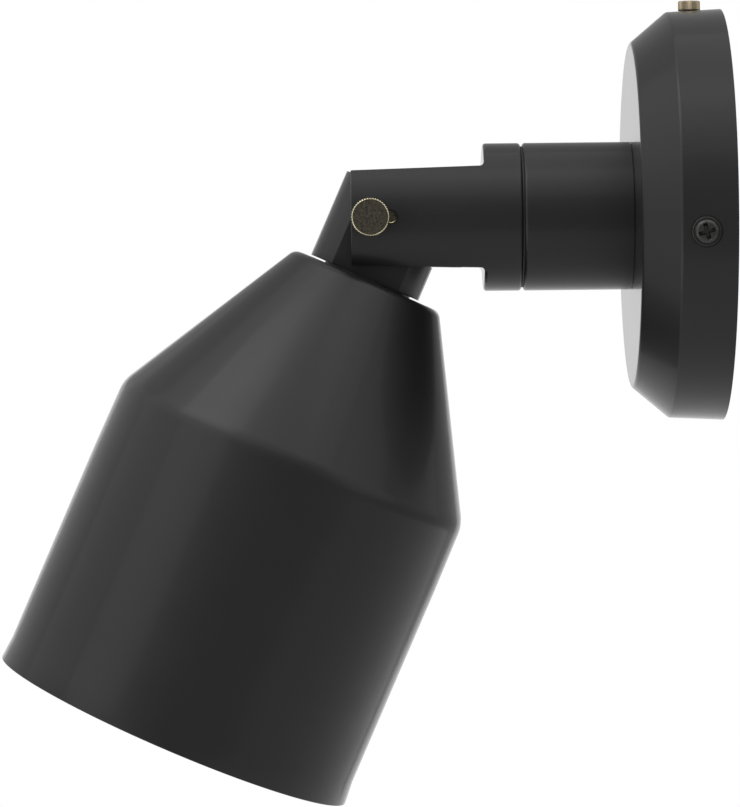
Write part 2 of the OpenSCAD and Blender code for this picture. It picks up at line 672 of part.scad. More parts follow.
// Lampholder: a cap that screws on the nipple, and a body with the screw shell in it
module holder_cap() color(phenolic) shade_frame() turned([
    [nipple_r, cap_top, 0], [cap_neck_r, cap_top, 0], [cap_neck_r, cap_top + cap_neck_len, 0],
    [cap_r, cap_top + cap_neck_len + cap_r - cap_neck_r, 0], [cap_r, cap_bottom, 0],
    [cap_r - cap_wall, cap_bottom, 0], [cap_r - cap_wall, cap_top + cap_neck_len + cap_r - cap_neck_r, 0],
    [cap_neck_r, cap_top + cap_grip, 0], [nipple_r, cap_top + cap_grip, 0]]);
module holder_body() color(steatite) difference() {
    shade_frame() turned([
        [0, cap_bottom, 0], [holder_r, cap_bottom, 0], [holder_r, holder_bottom, 0],
        [shell_in_r, holder_bottom, 0], [shell_in_r, holder_bottom - shell_lip, 0],
        [shell_out_r, holder_bottom - shell_lip, 0], [shell_out_r, cap_bottom + holder_base_t, 0],
        [0, cap_bottom + holder_base_t, 0]]);
    shade_frame(cap_bottom - cut) for (side = [-1, 1]) translate([side * terminal_x, 0, 0])
        rod(terminal_d / 2, terminal_tail + cut);
}
module holder_shell() color(brass_bright) shade_frame(cap_bottom + holder_base_t)
    tube(shell_out_r, shell_in_r, holder_len - holder_base_t - shell_lip);
module holder_contact() color(brass_bright) shade_frame(cap_bottom + holder_base_t)
    rotate([90, 0, 0]) linear_extrude(contact_w, center = true) polygon([
        [-contact_side - contact_foot, 0], [-contact_side, 0], [-contact_side + contact_rise, contact_rise - contact_t],
        [contact_foot, contact_rise - contact_t], [contact_foot, contact_rise],
        [contact_t - contact_side + contact_rise - contact_t * 2, contact_rise],
        [-contact_side - contact_t / 2, contact_t], [-contact_side - contact_foot, contact_t]]);
module terminal_screws() color(brass_bright) for (side = [-1, 1]) shade_frame(cap_bottom)
    translate([side * terminal_x, 0, 0]) {
        translate([0, 0, -terminal_h]) rod(terminal_r, terminal_h);
        rod(terminal_d / 2, terminal_tail);
    }

// Leads in the head: from the lampholder's screws up the nipple, past the pin, towards the fork
module head_leads() for (side = [-1, 1]) color(side < 0 ? [0.08, 0.08, 0.08] : [0.93, 0.93, 0.9]) {
    low = cap_bottom - terminal_h / 2;
    shade_frame() {
        translate([side * lead_x, 0, channel_floor])
            rod(lead_r, low - terminal_bend - channel_floor);
        translate([side * lead_x, 0, low - terminal_bend]) rotate([0, 0, side > 0 ? 0 : 180])
            lead_arc(lead_r, terminal_bend, 90);
        translate([side > 0 ? lead_x + terminal_bend : terminal_r - terminal_x, 0, low]) across()
            rod(lead_r, terminal_x - terminal_r - lead_x - terminal_bend);
        translate([side * lead_x, 0, channel_floor]) rotate([180, 0, -90]) {
            lead_arc(lead_r, head_bend, head_turn);
            translate([head_bend * (1 - cos(head_turn)), 0, head_bend * sin(head_turn)])
                rotate([0, head_turn, 0]) translate([0, 0, -head_run_lap])
                    rod(lead_r - head_run_thin, head_run + head_run_lap);
        }
    }
}

// Bulb: frosted glass on a screw base
module bulb_glass() color([0.95, 0.94, 0.9, 0.8]) shade_frame() turned(concat(
    [[neck_r - glass_wall, base_end - neck_len, 0], [neck_r, base_end - neck_len, 0], [neck_r, base_end, 0]],
    bulb_curve(bulb_d / 2), [[0, bulb_end - glass_wall, 0]], reverse(bulb_curve(bulb_d / 2 - glass_wall)),
    [[neck_r - glass_wall, base_end, 0]]));
// The glass swells from its neck to a ball: [radius, distance, 0] of its outline, neck first
glass_steps = 10;
function bulb_curve(r) =
    let (middle = bulb_end - bulb_d / 2, wall = bulb_d / 2 - r, neck = neck_r - wall,
         waist = middle - base_end)
    concat([for (k = [1:glass_steps - 1]) let (f = k / glass_steps)
                [neck + (r - neck) * (1 - cos(180 * f)) / 2, base_end + waist * f, 0]],
           [for (k = [0:glass_steps - 1]) let (a = 90 * k / glass_steps) [r * cos(a), middle + r * sin(a), 0]],
           wall == 0 ? [[0, bulb_end, 0]] : []);
function reverse(p) = [for (i = [len(p) - 1:-1:0]) p[i]];
module bulb_shell() color(bare_metal) shade_frame() difference() {
    translate([0, 0, base_top]) rod(bulb_base_r, base_len);
    translate([0, 0, base_top + base_wall]) rod(bulb_base_r - base_wall, base_len);
    translate([0, 0, base_top - cut]) rod(insulator_r, base_len);
}
module bulb_insulator() color(phenolic) shade_frame() turned([
    [0, bulb_tip + pip_t, 0], [pip_r, bulb_tip + pip_t, 0], [insulator_r, base_top, 0],
    [insulator_r, base_top + base_wall, 0], [0, base_top + base_wall, 0]]);
module bulb_contact() color(bare_metal) shade_frame() turned([
    [0, bulb_tip, 0], [pip_r / 2, bulb_tip, 0], [pip_r, bulb_tip + pip_t, 0], [0, bulb_tip + pip_t, 0]]);

mounting_strap();
ground_screw();
canopy();
canopy_screws();
switch_housing();
switch_bush();
switch_nut();
switch_shaft();
switch_knob();
arm_tube();
arm_plug();
arm_nipple();
ground_tag();
arm_lock_washer();
arm_nut();
nipple_bushing();
line_lead();
neutral_lead();
switch_lead();
ground_lead();
wire_connectors();
swivel_stop_pin();
swivel_washer();
swivel_fork();
swivel_rear_washer();
swivel_spring_washer();
swivel_nut();
lead_sleeve();
fork_leads();
pivot_pin();
lock_screw();
knuckle();
pivot_washers();
head_nipple();
shade_washer();
shade();
shade_plate();
shade_lock_washer();
shade_nut();
holder_cap();
holder_body();
holder_shell();
holder_contact();
terminal_screws();
head_leads();
bulb_glass();
bulb_shell();
bulb_insulator();
bulb_contact();
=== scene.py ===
# Pivoting spotlight wall light: black canopy, short arm, swivelling fork and a tilting spun shade.
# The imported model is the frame, and the pieces below are dressed or modelled round it in the order
# in which the light is put together, from the wall outwards. The frame is in metres and the sizes
# of pieces are in mm. The wall is Y = 0, +Z is up and the light stands out along -Y.
import json
from math import atan2, cos, hypot, pi, radians, sin, tan

import bpy
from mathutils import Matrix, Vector


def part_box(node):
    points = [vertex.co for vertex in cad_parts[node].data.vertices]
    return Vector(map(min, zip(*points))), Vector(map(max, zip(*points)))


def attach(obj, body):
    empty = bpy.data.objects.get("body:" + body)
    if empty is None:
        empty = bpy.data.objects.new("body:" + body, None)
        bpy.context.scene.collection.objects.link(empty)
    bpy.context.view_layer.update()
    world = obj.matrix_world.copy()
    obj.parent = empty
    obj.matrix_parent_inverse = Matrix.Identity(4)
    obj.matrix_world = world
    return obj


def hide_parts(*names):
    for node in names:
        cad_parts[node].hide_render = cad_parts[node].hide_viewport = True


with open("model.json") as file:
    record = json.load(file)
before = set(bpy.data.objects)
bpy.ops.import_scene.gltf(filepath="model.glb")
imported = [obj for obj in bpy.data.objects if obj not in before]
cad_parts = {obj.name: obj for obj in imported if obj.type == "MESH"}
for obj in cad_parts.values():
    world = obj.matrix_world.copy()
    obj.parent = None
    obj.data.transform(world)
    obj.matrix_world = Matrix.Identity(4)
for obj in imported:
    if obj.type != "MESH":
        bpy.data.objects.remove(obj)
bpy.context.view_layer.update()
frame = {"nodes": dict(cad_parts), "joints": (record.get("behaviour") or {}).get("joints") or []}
nodes = frame["nodes"]
bpy.ops.object.select_all(action="DESELECT")

# Camera
# Beside the light and nearly level with its arm, 1.3 m away, with a long lens.
bpy.ops.object.camera_add(
    location=(1.2978, -0.1157, -0.0204),
    rotation=(radians(88.371), radians(0.617), radians(89.69)),
)
camera = bpy.context.object
camera.data.sensor_width = 36
camera.data.lens = 186.83
camera.data.clip_end = 30
bpy.context.scene.camera = camera
bpy.context.scene.view_settings.view_transform = "Standard"

# Studio
# A grey room with a floor and a low backdrop that look white to the camera and in reflections.
# Ten softboxes stand round the light. The brightest are in front of it, and the others fill in
# from above, from the wall's side and from behind.
room_grey = 0.42
paper_grey = 0.8
stage_size = 12
stage_away = 2.5
backdrop_size = 2.4
backdrop_top = 0.45
light_middle = Vector((0, -0.1, -0.05))
softbox_away = 1.8
softbox_power = 4  # watts a square metre at brightness 1


def seen_by(tree, *rays):
    """1 for the named kinds of ray and 0 for all others."""
    path = tree.nodes.new("ShaderNodeLightPath")
    seen = path.outputs[rays[0]]
    for ray in rays[1:]:
        either = tree.nodes.new("ShaderNodeMath")
        either.operation = "MAXIMUM"
        tree.links.new(seen, either.inputs[0])
        tree.links.new(path.outputs[ray], either.inputs[1])
        seen = either.outputs[0]
    return seen


def stage_white(name):
    """White paper that keeps the object's shadow and looks white to whatever sees it."""
    material = bpy.data.materials.new(name)
    material.use_nodes = True
    tree = material.node_tree
    tree.nodes.clear()
    paper = tree.nodes.new("ShaderNodeBsdfDiffuse")
    paper.inputs["Color"].default_value = (paper_grey, paper_grey, paper_grey, 1)
    white = tree.nodes.new("ShaderNodeEmission")
    white.inputs["Strength"].default_value = 1.0
    mix = tree.nodes.new("ShaderNodeMixShader")
    seen = seen_by(tree, "Is Camera Ray", "Is Glossy Ray", "Is Transmission Ray")
    tree.links.new(seen, mix.inputs[0])
    tree.links.new(paper.outputs[0], mix.inputs[1])
    tree.links.new(white.outputs[0], mix.inputs[2])
    tree.links.new(mix.outputs[0], tree.nodes.new("ShaderNodeOutputMaterial").inputs["Surface"])
    return material


bpy.ops.mesh.primitive_plane_add(size=stage_size, location=(0, 0, -stage_away))
floor = bpy.context.object
floor.name = "floor"
floor.data.materials.append(stage_white("floor_white"))
bpy.ops.mesh.primitive_plane_add(
    size=backdrop_size,
    location=(-stage_away, light_middle.y, backdrop_top - backdrop_size / 2),
    rotation=(0, radians(90), 0),
)
backdrop = bpy.context.object
backdrop.name = "backdrop"
backdrop.data.materials.append(stage_white("backdrop_white"))

world = bpy.data.worlds.new("studio")
bpy.context.scene.world = world
world.use_nodes = True
sky = world.node_tree
sky.nodes.clear()
room = sky.nodes.new("ShaderNodeBackground")
room.inputs["Color"].default_value = (room_grey, room_grey, room_grey, 1)
paper_white = sky.nodes.new("ShaderNodeBackground")
paper_white.inputs["Color"].default_value = (1, 1, 1, 1)
sky_mix = sky.nodes.new("ShaderNodeMixShader")
sky.links.new(seen_by(sky, "Is Camera Ray", "Is Transmission Ray"), sky_mix.inputs[0])
sky.links.new(room.outputs[0], sky_mix.inputs[1])
sky.links.new(paper_white.outputs[0], sky_mix.inputs[2])
sky.links.new(sky_mix.outputs[0], sky.nodes.new("ShaderNodeOutputWorld").inputs["Surface"])


def softbox(name, round_from_side, up, width, height, brightness):
    """A softbox that faces the light from so many degrees round from the camera towards the
    front and so many up from the level, with its width and height in metres."""
    across, rise = radians(round_from_side), radians(up)
    away = Vector((cos(across) * cos(rise), -sin(across) * cos(rise), sin(rise)))
    bpy.ops.object.light_add(
        type="AREA",
        location=light_middle + softbox_away * away,
        rotation=away.to_track_quat("Z", "Y").to_euler(),
    )
    lamp = bpy.context.object
    lamp.name = name
    lamp.data.shape = "RECTANGLE"
    lamp.data.size, lamp.data.size_y = width, height
    lamp.data.energy = softbox_power * width * height * brightness


softbox("high_front_softbox", 55, 55, 1.15, 1.0, 2.3)
softbox("upper_front_softbox", 55, 20, 1.15, 1.0, 1.1)
softbox("lower_front_softbox", 55, -18, 1.15, 1.0, 1.4)
softbox("far_front_softbox", 95, 37, 1.15, 2.0, 0.54)
softbox("near_overhead_softbox", 0, 56, 1.9, 1.5, 0.55)
softbox("overhead_softbox", 0, 90, 1.9, 1.5, 0.5)
softbox("high_wall_softbox", -75, 55, 1.9, 1.1, 1.03)
softbox("low_wall_softbox", -60, 15, 1.3, 1.2, 0.72)
softbox("back_softbox", -105, 10, 1.15, 1.2, 0.25)
softbox("front_back_softbox", 135, 15, 1.15, 1.2, 0.16)


# Wall strap and its ground screw
# The strap is 2 mm steel, stamped, bent and zinc plated, and is screwed to the junction box. The
# green screw has a hexagon head with a slot, and clamps the bonding lead to the strap.
mm = 0.001
weld = 0.002  # mm between points that become one
along_arm = (90, 0, 0)  # turns a piece's axis from +Z to the arm's, which points out along -Y


def low_of(name):
    """A CAD node's lowest corner at rest, in mm."""
    return Vector(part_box(name)[0]) / mm


def high_of(name):
    """A CAD node's highest corner at rest, in mm."""
    return Vector(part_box(name)[1]) / mm


def middle_of(name):
    """The middle of a CAD node's box at rest, in mm."""
    return (low_of(name) + high_of(name)) / 2


def finish(name, dark, light, rough, patch=120.0, metal=0.0, relief=(900.0, 0.00001), **fixed):
    """A finish whose colour and roughness wander between two values, in patches of noise, over
    relief of a noise scale and a depth in metres. Other sockets of the shader are fixed."""
    material = bpy.data.materials.new(name)
    material.use_nodes = True
    tree = material.node_tree
    shader = tree.nodes["Principled BSDF"]
    shader.inputs["Metallic"].default_value = metal
    for socket, value in fixed.items():
        shader.inputs[socket.replace("_", " ")].default_value = value
    where = tree.nodes.new("ShaderNodeTexCoord")
    cloud = tree.nodes.new("ShaderNodeTexNoise")
    cloud.inputs["Scale"].default_value = patch
    cloud.inputs["Detail"].default_value = 4
    tree.links.new(where.outputs["Object"], cloud.inputs["Vector"])
    tone = tree.nodes.new("ShaderNodeMix")
    tone.data_type = "RGBA"
    tone.inputs["A"].default_value = (*dark, 1)
    tone.inputs["B"].default_value = (*light, 1)
    tree.links.new(cloud.outputs["Fac"], tone.inputs["Factor"])
    tree.links.new(tone.outputs["Result"], shader.inputs["Base Color"])
    sheen = tree.nodes.new("ShaderNodeMapRange")
    sheen.inputs["From Min"].default_value = 0.3
    sheen.inputs["From Max"].default_value = 0.7
    sheen.inputs["To Min"].default_value = rough[0]
    sheen.inputs["To Max"].default_value = rough[1]
    tree.links.new(cloud.outputs["Fac"], sheen.inputs["Value"])
    tree.links.new(sheen.outputs["Result"], shader.inputs["Roughness"])
    grain = tree.nodes.new("ShaderNodeTexNoise")
    grain.inputs["Scale"].default_value = relief[0]
    tree.links.new(where.outputs["Object"], grain.inputs["Vector"])
    bump = tree.nodes.new("ShaderNodeBump")
    bump.inputs["Distance"].default_value = relief[1]
    tree.links.new(grain.outputs["Fac"], bump.inputs["Height"])
    tree.links.new(bump.outputs["Normal"], shader.inputs["Normal"])
    return material


def dress(material, *names):
    """Gives CAD nodes that keep their shape their finish."""
    for name in names:
        nodes[name].data.materials.clear()
        nodes[name].data.materials.append(material)


def pick(piece):
    """Selects one piece alone and makes it the active one."""
    bpy.ops.object.select_all(action="DESELECT")
    piece.select_set(True)
    bpy.context.view_layer.objects.active = piece


def place(piece, at=(0, 0, 0), turn=(0, 0, 0)):
    """Turns a piece by degrees about X, Y and Z, moves it by mm, and puts that into its mesh."""
    piece.location = [mm * v for v in at]
    piece.rotation_euler = [radians(v) for v in turn]
    pick(piece)
    bpy.ops.object.transform_apply(location=True, rotation=True, scale=True)
    return piece


def outline(corners, steps):
    """Points in mm along corners (radius, height, fillet), with arcs at the filleted ones."""
    points = []
    for k, (radius, height, fillet) in enumerate(corners):
        here = Vector((radius, height))
        if not fillet:
            points.append(here)
            continue
        back = (Vector(corners[k - 1][:2]) - here).normalized()
        ahead = (Vector(corners[(k + 1) % len(corners)][:2]) - here).normalized()
        half = back.angle(ahead) / 2
        centre = here + (back + ahead).normalized() * fillet / sin(half)
        start = here + back * fillet / tan(half) - centre
        end = here + ahead * fillet / tan(half) - centre
        first = atan2(start.y, start.x)
        sweep = (atan2(end.y, end.x) - first + 3 * pi) % (2 * pi) - pi
        for step in range(steps + 1):
            angle = first + sweep * step / steps
            points.append(centre + fillet * Vector((cos(angle), sin(angle))))
    return points


def turned(name, corners, steps=96, ring=False, arc=5):
    """A turned piece on the Z axis: the corners of a flat circle are moved to its outline, which
    is spun. A ring's outline closes on itself. Any other's ends stay open or meet the axis."""
    points = outline(corners, arc)
    bpy.ops.object.select_all(action="DESELECT")
    bpy.ops.mesh.primitive_circle_add(vertices=len(points), radius=10 * mm)
    piece = bpy.context.object
    piece.name = piece.data.name = name
    for vertex, point in zip(piece.data.vertices, points):
        vertex.co = (mm * point.x, 0, mm * point.y)
    bpy.ops.object.mode_set(mode="EDIT")
    bpy.ops.mesh.select_mode(type="EDGE")
    bpy.ops.mesh.select_all(action="DESELECT")
    bpy.ops.object.mode_set(mode="OBJECT")
    for edge in piece.data.edges:
        edge.select = not ring and set(edge.vertices) == {0, len(points) - 1}
    bpy.ops.object.mode_set(mode="EDIT")
    bpy.ops.mesh.delete(type="EDGE_FACE")
    bpy.ops.mesh.select_mode(type="VERT")
    bpy.ops.mesh.select_all(action="SELECT")
    bpy.ops.mesh.spin(steps=steps, angle=2 * pi, center=(0, 0, 0), axis=(0, 0, 1))
    bpy.ops.mesh.select_all(action="SELECT")
    bpy.ops.mesh.remove_doubles(threshold=weld * mm)
    bpy.ops.mesh.normals_make_consistent(inside=False)
    bpy.ops.object.mode_set(mode="OBJECT")
    return piece


def block(size, at=(0, 0, 0), turn=(0, 0, 0), foot=1.0):
    """A block of a size in mm round its own middle, drawn in at its foot, and then placed."""
    bpy.ops.object.select_all(action="DESELECT")
    bpy.ops.mesh.primitive_cube_add(size=1)
    piece = bpy.context.object
    for vertex in piece.data.vertices:
        x, y, z = vertex.co
        draw = foot if z < 0 else 1
        vertex.co = (mm * size[0] * draw * x, mm * size[1] * draw * y, mm * size[2] * z)
    return place(piece, at, turn)


def cut(piece, tool, operation="DIFFERENCE"):
    """Cuts a piece with a tool, joins the tool to it or keeps what both hold. The tool is gone."""
    modifier = piece.modifiers.new("cut", "BOOLEAN")
    modifier.operation = operation
    modifier.solver = "EXACT"
    modifier.object = tool
    pick(piece)
    bpy.ops.object.modifier_apply(modifier=modifier.name)
    bpy.data.objects.remove(tool)
    return piece


def hexagon(name, flats, height):
    """A plain hexagon bar on the Z axis with two corners along X."""
    bpy.ops.object.select_all(action="DESELECT")
    bpy.ops.mesh.primitive_cylinder_add(vertices=6, radius=mm * flats / 3 ** 0.5, depth=mm * height)
    bar = bpy.context.object
    bar.name = bar.data.name = name
    return place(bar, (0, 0, height / 2), (0, 0, 30))


def rings(radius, low, high, gap):
    """Outline points up a straight side, close enough together to take a thread or ribs."""
    count = round(abs(high - low) / gap)
    return [(radius, low + (high - low) * k / count, 0) for k in range(count + 1)]


def polar(point):
    """A point's distance in mm from the Z axis, its angle round it and its height in mm."""
    x, y, z = point / mm
    return hypot(x, y), atan2(y, x), z


def draw_in(vertex, depth):
    """Moves a point towards the Z axis by a depth in mm."""
    x, y, z = vertex.co / mm
    keep = 1 - depth / hypot(x, y)
    vertex.co = (mm * x * keep, mm * y * keep, mm * z)


def thread(piece, pitch, depth, low, high, within=(0, 99)):
    """Rolls a thread into a turned piece between two heights, running out at both ends, where
    its radius lies within two others."""
    for vertex in piece.data.vertices:
        radius, angle, z = polar(vertex.co)
        if within[0] < radius < within[1] and low < z < high:
            wave = 0.5 - 0.5 * cos(2 * pi * z / pitch - angle)
            draw_in(vertex, depth * wave * min(1, (z - low) / pitch, (high - z) / pitch))


def done(piece, material, body, node, smooth=35):
    """Shades a piece smooth but for edges sharper than some degrees, gives it its finish if it
    has none yet, and hands it to the frame."""
    pick(piece)
    bpy.ops.object.shade_smooth_by_angle(angle=radians(smooth))
    if not piece.data.materials:
        piece.data.materials.append(material)
    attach(piece, body)
    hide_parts(node)


zinc = finish(
    "zinc", (0.42, 0.43, 0.45), (0.62, 0.62, 0.63), (0.26, 0.44), patch=300, metal=1.0,
)
green_coat = finish(
    "green_screw_coat", (0.015, 0.11, 0.035), (0.03, 0.17, 0.06), (0.3, 0.42), metal=0.4,
)
dress(zinc, "mounting_strap")

ground = turned("bonding_screw", [
    (0, 0.1, 0), (1.35, 0.1, 0), *rings(1.75, 0.5, 3.7, gap=0.13), (1.75, 3.8, 0),
    (3.3, 3.8, 0), (3.3, 3.81, 0), (0, 3.81, 0),
], 32)
thread(ground, pitch=0.8, depth=0.3, low=0.3, high=3.7)
head = turned("bonding_head", [
    (0, 3.8, 0), (3.0, 3.8, 0), (3.6, 4.1, 0), (3.6, 5.5, 0), (3.0, 6.0, 0), (0, 6.0, 0),
], 48)
cut(head, place(hexagon("bonding_hexagon", flats=6.24, height=4), (0, 0, 3)), "INTERSECT")
cut(ground, head, "UNION")
slot = block((9, 1, 1.8), (0, 0, 6.1))
cut(ground, slot)
done(place(ground, (middle_of("ground_screw").x, 0, 0), along_arm), green_coat,
     "wall_base", "ground_screw")

# Canopy
# Pressed steel cup with a 40 degree bevel round its flat face, in satin black powder coat with a
# faint orange peel. It hangs on two rim screws and is clamped to the arm through its face.
black_coat = finish(
    "black_coat", (0.0085, 0.0085, 0.0087), (0.0105, 0.0105, 0.0107), (0.41, 0.45), patch=60,
    relief=(700.0, 0.000004), IOR=1.36, Coat_Weight=1.0, Coat_Roughness=0.12, Coat_IOR=1.11,
)
dress(black_coat, "canopy")

# Canopy screws
# Two black machine screws with pan heads, cross recesses and captive washers, driven through
# ring seats in the rim into the strap's bent ears. The near one sits a little below the level,
# and the far one opposite it.
seat_radius = 62.592
seat_y = middle_of("canopy_screws").y
near_screw_turn = 95.3  # degrees from the rim's top
far_screw_turn = -84.7


def edge_round(piece, width, angle=40, segments=2):
    """Rounds a piece's edges that are sharper than an angle in degrees, by a width in mm."""
    modifier = piece.modifiers.new("edges", "BEVEL")
    modifier.width = mm * width
    modifier.segments = segments
    modifier.limit_method = "ANGLE"
    modifier.angle_limit = radians(angle)
    pick(piece)
    bpy.ops.object.modifier_apply(modifier=modifier.name)
    return piece


def twin(piece, name):
    """A copy of a piece with a mesh of its own."""
    pick(piece)
    bpy.ops.object.duplicate(linked=False)
    other = bpy.context.object
    other.name = other.data.name = name
    return other


screw_black = finish(
    "screw_black", (0.01, 0.01, 0.01), (0.024, 0.023, 0.021), (0.26, 0.36), patch=900,
    relief=(2500.0, 0.000006), IOR=1.45,
)
rim_screw = turned("rim_screw_near", [
    (0, -7.04, 0), (1.4, -7.04, 0), *rings(1.75, -6.7, -0.3, gap=0.13), (1.75, 0, 0),
    (4.35, 0, 0.15), (4.35, 0.55, 0.25), (3.95, 0.55, 0), (3.85, 0.4, 0), (3.7, 0.4, 0),
    (3.7, 1.95, 1.5), (0, 2.2, 0),
], 48, arc=6)
thread(rim_screw, pitch=0.8, depth=0.3, low=-6.9, high=-1.5)
for recess_turn in (16, 106):
    recess = block((6.7, 1.6, 2.8), (0, 0, 1.7), (0, 0, recess_turn), foot=0.5)
    cut(rim_screw, recess)
edge_round(rim_screw, 0.07, angle=50)
far_rim_screw = twin(rim_screw, "rim_screw_far")
for screw, turn in ((rim_screw, near_screw_turn), (far_rim_screw, far_screw_turn)):
    seat = seat_radius * Vector((sin(radians(turn)), 0, cos(radians(turn))))
    place(screw, (seat.x, seat_y, seat.z), (0, turn, 0))
    done(screw, screw_black, "wall_base", "canopy_screws")

# Rotary switch and its knob
# A phenolic housing in two halves hangs inside the rim on a threaded brass bush with a nut. The
# shaft carries a turned brass knob with a straight knurl and a light patina, and its foot is
# painted black as shade where it meets the rim.
switch_y = middle_of("switch_nut").y
housing_z = 46.91
seam_z = 47.5
switch_nut_z = 59.16
knob_z = 63.13
phenolic = finish(
    "phenolic", (0.012, 0.009, 0.007), (0.024, 0.018, 0.014), (0.24, 0.36), patch=250,
)
pale_brass = finish(
    "pale_brass", (0.3, 0.27, 0.175), (0.5, 0.45, 0.3), (0.16, 0.28), patch=700, metal=1.0,
    relief=(3000.0, 0.000008),
)
knob_brass = finish(
    "knob_brass", (0.2, 0.165, 0.11), (0.42, 0.345, 0.235), (0.26, 0.4), patch=900, metal=1.0,
    relief=(3000.0, 0.000008),
)
aged_brass = finish(
    "aged_brass", (0.2, 0.16, 0.08), (0.38, 0.31, 0.16), (0.3, 0.5), patch=600, metal=1.0,
)

housing = block((16, 12.6, 15), (0, switch_y, housing_z))
edge_round(housing, 0.7, segments=3)
seam = block((17, 14, 0.35), (0, switch_y, seam_z))
cut(seam, block((15.4, 12, 1), (0, switch_y, seam_z)))
cut(housing, seam)
housing.name = housing.data.name = "switch_body"
done(housing, phenolic, "wall_base", "switch_housing")

bush = turned("switch_threaded_bush", [
    (1.55, 54.41, 0), (4.0, 54.41, 0), (4.0, 54.9, 0), *rings(3.0, 55.3, 62.7, gap=0.125),
    (2.8, 62.91, 0), (1.55, 62.91, 0),
], 48, ring=True)
thread(bush, pitch=0.75, depth=0.35, low=55.4, high=62.8, within=(2.5, 3.2))
done(place(bush, (0, switch_y, 0)), aged_brass, "wall_base", "switch_bush")


def hex_nut(name, flats, bore, height):
    """A hexagon nut on the Z axis with chamfered corners and a countersunk bore of a radius."""
    inner, outer, drop, sink = 0.48 * flats, 0.6 * flats, 0.07 * flats, 0.3
    nut = turned(name, [
        (bore, sink, 0), (bore + sink, 0, 0), (inner, 0, 0), (outer, drop, 0),
        (outer, height - drop, 0), (inner, height, 0), (bore + sink, height, 0),
        (bore, height - sink, 0),
    ], 96, ring=True)
    return cut(nut, hexagon("hexagon_bar", flats, height), "INTERSECT")


switch_nut = hex_nut("switch_hex_nut", flats=8, bore=3.0, height=2.0)
done(place(switch_nut, (0, switch_y, switch_nut_z)), aged_brass,
     "wall_base", "switch_nut")
shaft = turned("switch_spindle", [
    (0, 54.71, 0), (1.5, 54.71, 0.2), (1.5, 64.86, 0.2), (0, 64.86, 0),
], 32)
done(place(shaft, (0, switch_y, 0)), aged_brass, "switch_turn", "switch_shaft")


def knurl(piece, teeth, depth, outside):
    """Rolls a straight knurl into a turned piece outside a radius, four points to a tooth."""
    for vertex in piece.data.vertices:
        radius, angle, _ = polar(vertex.co)
        if radius > outside:
            phase = teeth * angle / (2 * pi) % 1
            draw_in(vertex, depth * (1 - abs(2 * phase - 1)))


def two_tone(piece, main, other, is_other):
    """Gives a piece two finishes. The other one is for faces at whose middle
    is_other(radius, angle, height) holds."""
    piece.data.materials.append(main)
    piece.data.materials.append(other)
    for face in piece.data.polygons:
        face.material_index = int(is_other(*polar(face.center)))


knob = turned("knurled_knob", [
    (0, 1.62, 0), (1.5, 1.62, 0), (1.5, 0, 0), (3.3, 0, 0), (3.4, 0.1, 0), (3.4, 0.3, 0),
    (3.4, 2.62, 0), (3.33, 2.8, 0), (3.05, 2.97, 0), (0, 2.97, 0),
], 192)
knurl(knob, teeth=48, depth=0.1, outside=3.25)
# the knob's lowest quarter millimetre is painted black as shade at its foot
two_tone(knob, knob_brass, phenolic, lambda radius, angle, z: z < 0.25)
done(place(knob, (0, switch_y, knob_z)), knob_brass,
     "switch_turn", "switch_knob", smooth=25)

# Arm
# Turned aluminium tube in the canopy's black, with a foot line at the canopy and a web at its
# front for the swivel. A threaded plug closes its rear, and the stop pin stands in the web.
steel = finish(
    "bare_steel", (0.3, 0.3, 0.3), (0.46, 0.46, 0.45), (0.3, 0.5), patch=400, metal=1.0,
)
dress(black_coat, "arm_tube")
dress(steel, "arm_plug", "swivel_stop_pin")

# Arm's threaded rod, lock washer, ground tag, nut and bushing
# The hollow zinc plated rod pulls the arm and the canopy together. Inside the canopy it carries
# the brass ground tag, a toothed washer and a brass nut, and a nylon bushing lines its end.
rod_radius = 5.0
rod_thread = dict(pitch=1.0, depth=0.45, within=(4.4, 5.2))
rod = turned("threaded_rod", [
    (3.5, 17.7, 0), (3.7, 17.5, 0), (4.7, 17.5, 0), *rings(rod_radius, 17.8, 35.8, gap=0.17),
    (4.9, 35.9, 0), (3.5, 35.9, 0),
], 48, ring=True)
thread(rod, low=17.6, high=35.9, **rod_thread)
done(place(rod, turn=along_arm), zinc, "wall_base", "arm_nipple")


def on_arm(piece, node):
    """Turns a piece to the arm's line, with its foot at a CAD node's end nearest the wall."""
    return place(piece, (0, high_of(node).y, 0), along_arm)


def toothed_washer(name, bore, radius, thickness, teeth=12, tooth_share=0.55, root=0.15):
    """A lock washer with teeth round its outside. Their roots lie just outside its middle."""
    middle = bore + 0.5 * (radius - bore)
    washer = turned(name, [
        (bore, 0, 0), (middle, 0, 0), (radius, 0, 0), (radius, thickness, 0),
        (middle, thickness, 0), (bore, thickness, 0),
    ], 96, ring=True)
    for vertex in washer.data.vertices:
        here, angle, _ = polar(vertex.co)
        if here > middle + root and teeth * angle / (2 * pi) % 1 > tooth_share:
            draw_in(vertex, radius - middle - root)
    return washer


arm_washer = toothed_washer("arm_toothed_washer", bore=rod_radius, radius=7.8, thickness=0.8)
done(on_arm(arm_washer, "arm_lock_washer"), zinc, "wall_base", "arm_lock_washer")
arm_nut = hex_nut("arm_hex_nut", flats=14, bore=rod_radius, height=3.5)
done(on_arm(arm_nut, "arm_nut"), pale_brass, "wall_base", "arm_nut")
nylon = finish("nylon", (0.66, 0.65, 0.6), (0.76, 0.75, 0.7), (0.36, 0.5), patch=200)
dress(pale_brass, "ground_tag")
dress(nylon, "nipple_bushing")

